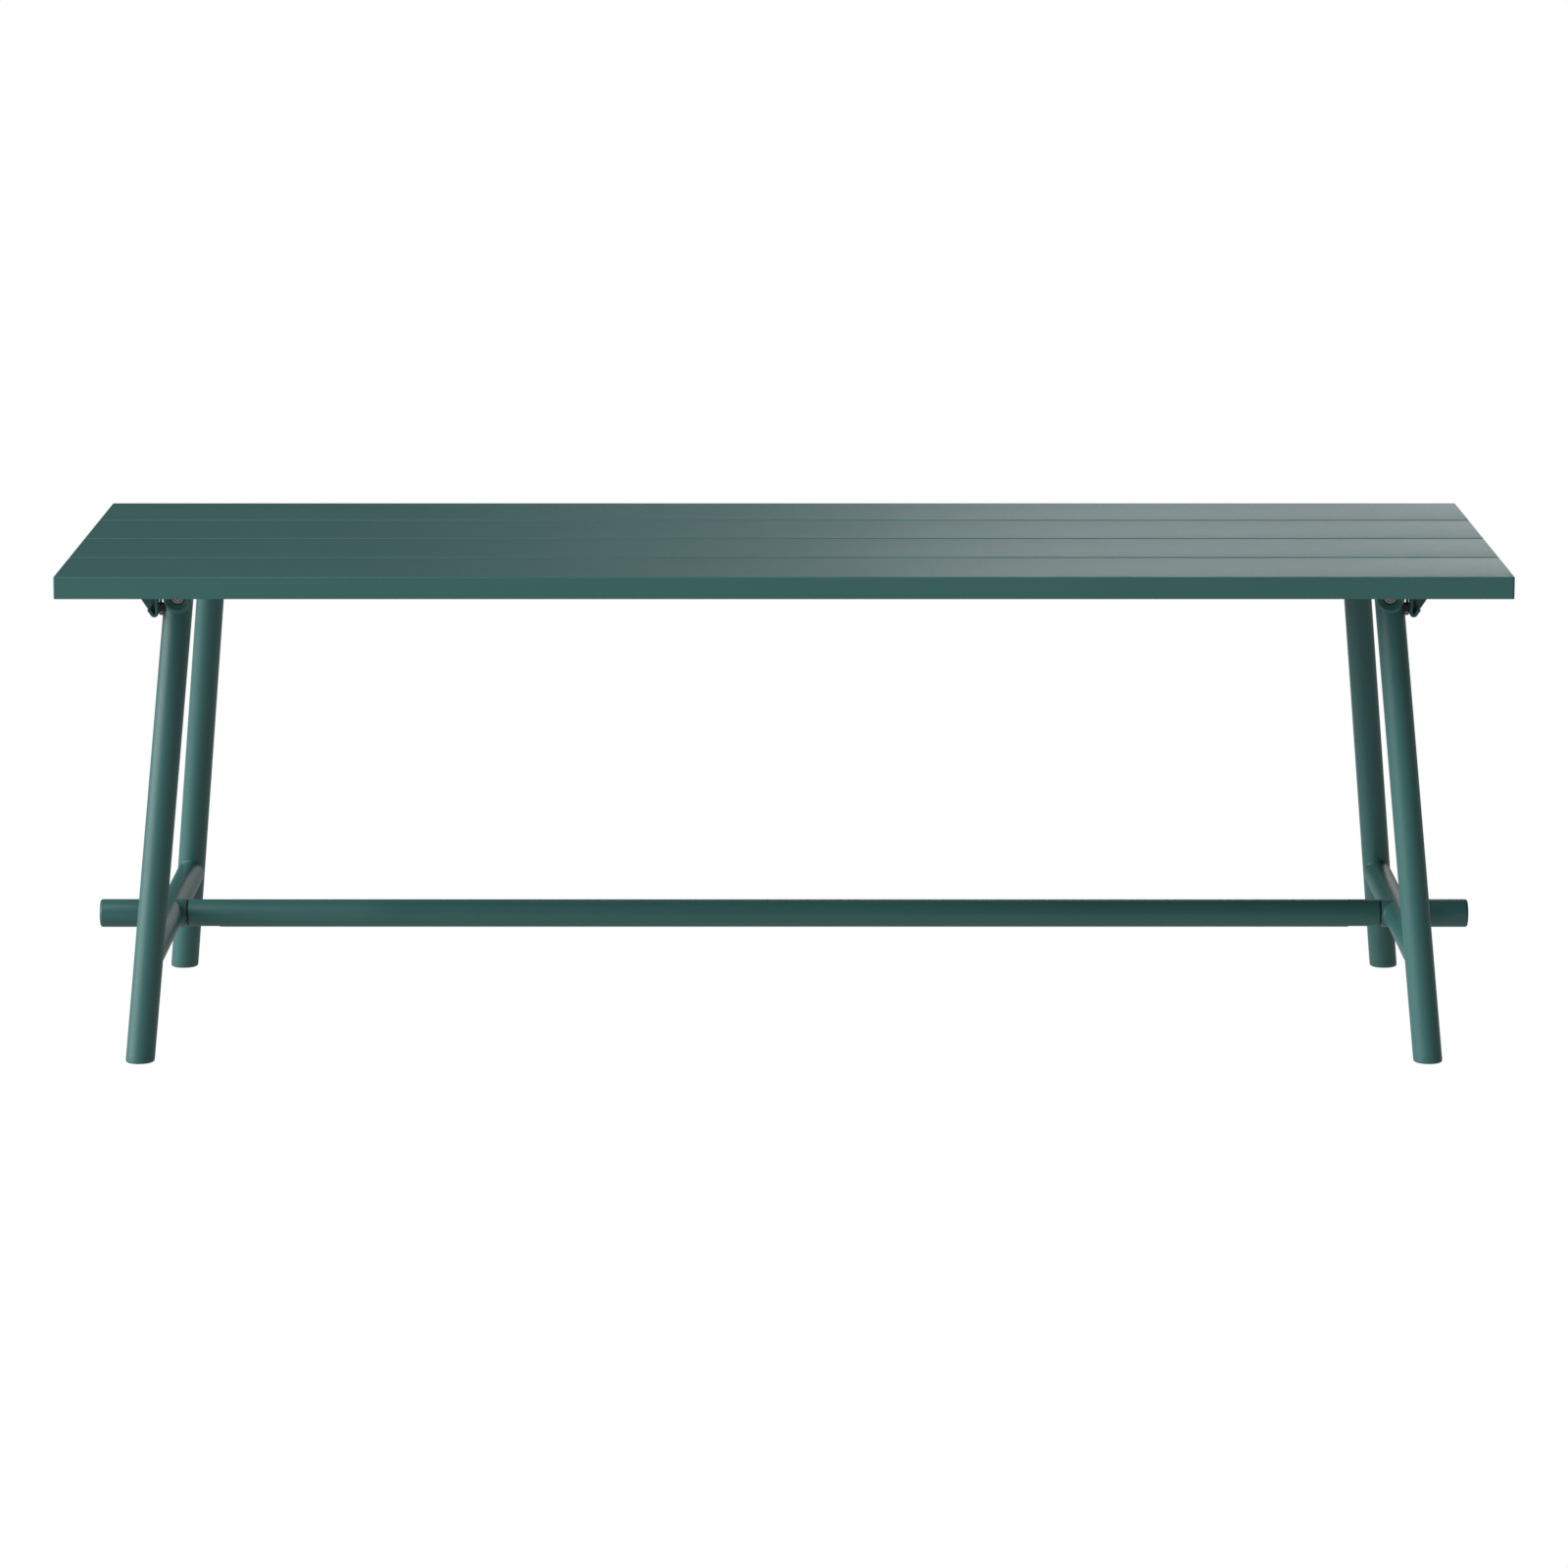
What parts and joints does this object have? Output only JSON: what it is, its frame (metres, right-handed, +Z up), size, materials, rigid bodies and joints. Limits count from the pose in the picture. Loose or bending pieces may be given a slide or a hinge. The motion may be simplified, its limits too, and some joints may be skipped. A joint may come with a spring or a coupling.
{
  "type": "backless bench",
  "caption": "Long backless bench: folded-sheet planks on leaning tubular end frames, held apart by a lift-off round stretcher with stub ends, with sprung catches at the leg tops.",
  "frame": {"origin": "floor level under the middle of the bench: the centre of the bounding box's bottom face", "axes": "+X along the bench's length, -Y towards the front, +Z up"},
  "size_m": [1.3, 0.514, 0.449],
  "materials": {
    "powder_teal": "satin fine-textured powder coat",
    "teal_nylon": "satin moulded nylon in the coat's colour",
    "black_nylon": "matt moulded nylon or rubber",
    "zinc_steel": "bare or zinc-plated steel"
  },
  "bodies": {
    "frame": {"bearer_left": "powder_teal", "bearer_right": "powder_teal", "cap_screw_back_left": "zinc_steel", "cap_screw_back_right": "zinc_steel", "cap_screw_front_left": "zinc_steel", "cap_screw_front_right": "zinc_steel", "catch_bracket_back_left": "powder_teal", "catch_bracket_back_right": "powder_teal", "catch_bracket_front_left": "powder_teal", "catch_bracket_front_right": "powder_teal", "cross_cap_back_left": "powder_teal", "cross_cap_back_right": "powder_teal", "cross_cap_front_left": "powder_teal", "cross_cap_front_right": "powder_teal", "cross_tube_left": "powder_teal", "cross_tube_right": "powder_teal", "foot_glide_back_left": "teal_nylon", "foot_glide_back_right": "teal_nylon", "foot_glide_front_left": "teal_nylon", "foot_glide_front_right": "teal_nylon", "hub_left": "powder_teal", "hub_right": "powder_teal", "leg_back_left": "powder_teal", "leg_back_right": "powder_teal", "leg_front_left": "powder_teal", "leg_front_right": "powder_teal", "mounting_plate_left": "powder_teal", "mounting_plate_right": "powder_teal", "pivot_block_back_left": "black_nylon", "pivot_block_back_right": "black_nylon", "pivot_block_front_left": "black_nylon", "pivot_block_front_right": "black_nylon", "plank_1": "powder_teal", "plank_2": "powder_teal", "plank_3": "powder_teal", "plank_4": "powder_teal", "rung_back_left": "powder_teal", "rung_back_right": "powder_teal", "rung_front_left": "powder_teal", "rung_front_right": "powder_teal", "spigot_left": "zinc_steel", "spigot_right": "zinc_steel", "stub_cap_left": "powder_teal", "stub_cap_right": "powder_teal"},
    "stretcher": {"stretcher": "powder_teal", "stretcher_plug_left": "black_nylon", "stretcher_plug_right": "black_nylon"},
    "catch_front_left": {"catch_buffer_front_left": "black_nylon", "catch_pin_front_left": "zinc_steel", "catch_strap_front_left": "powder_teal"},
    "catch_front_right": {"catch_buffer_front_right": "black_nylon", "catch_pin_front_right": "zinc_steel", "catch_strap_front_right": "powder_teal"},
    "catch_back_left": {"catch_buffer_back_left": "black_nylon", "catch_pin_back_left": "zinc_steel", "catch_strap_back_left": "powder_teal"},
    "catch_back_right": {"catch_buffer_back_right": "black_nylon", "catch_pin_back_right": "zinc_steel", "catch_strap_back_right": "powder_teal"}
  },
  "joints": [
    {"name": "stretcher_lift", "type": "slide", "parent": "frame", "child": "stretcher", "axis": [0, 0, 1], "range_m": [0, 0.25]},
    {"name": "catch_front_left_pull", "type": "hinge", "parent": "frame", "child": "catch_front_left", "pos_m": [-0.5686, -0.1807, 0.4285], "axis": [0, 1, 0], "range_deg": [0, 14], "stiffness_Nm_per_rad": 0.25, "springref_deg": -8.59},
    {"name": "catch_front_right_pull", "type": "hinge", "parent": "frame", "child": "catch_front_right", "pos_m": [0.5686, -0.1807, 0.4285], "axis": [0, -1, 0], "range_deg": [0, 14], "stiffness_Nm_per_rad": 0.25, "springref_deg": -8.59},
    {"name": "catch_back_left_pull", "type": "hinge", "parent": "frame", "child": "catch_back_left", "pos_m": [-0.5686, 0.1807, 0.4285], "axis": [0, 1, 0], "range_deg": [0, 14], "stiffness_Nm_per_rad": 0.25, "springref_deg": -8.59},
    {"name": "catch_back_right_pull", "type": "hinge", "parent": "frame", "child": "catch_back_right", "pos_m": [0.5686, 0.1807, 0.4285], "axis": [0, -1, 0], "range_deg": [0, 14], "stiffness_Nm_per_rad": 0.25, "springref_deg": -8.59}
  ]
}
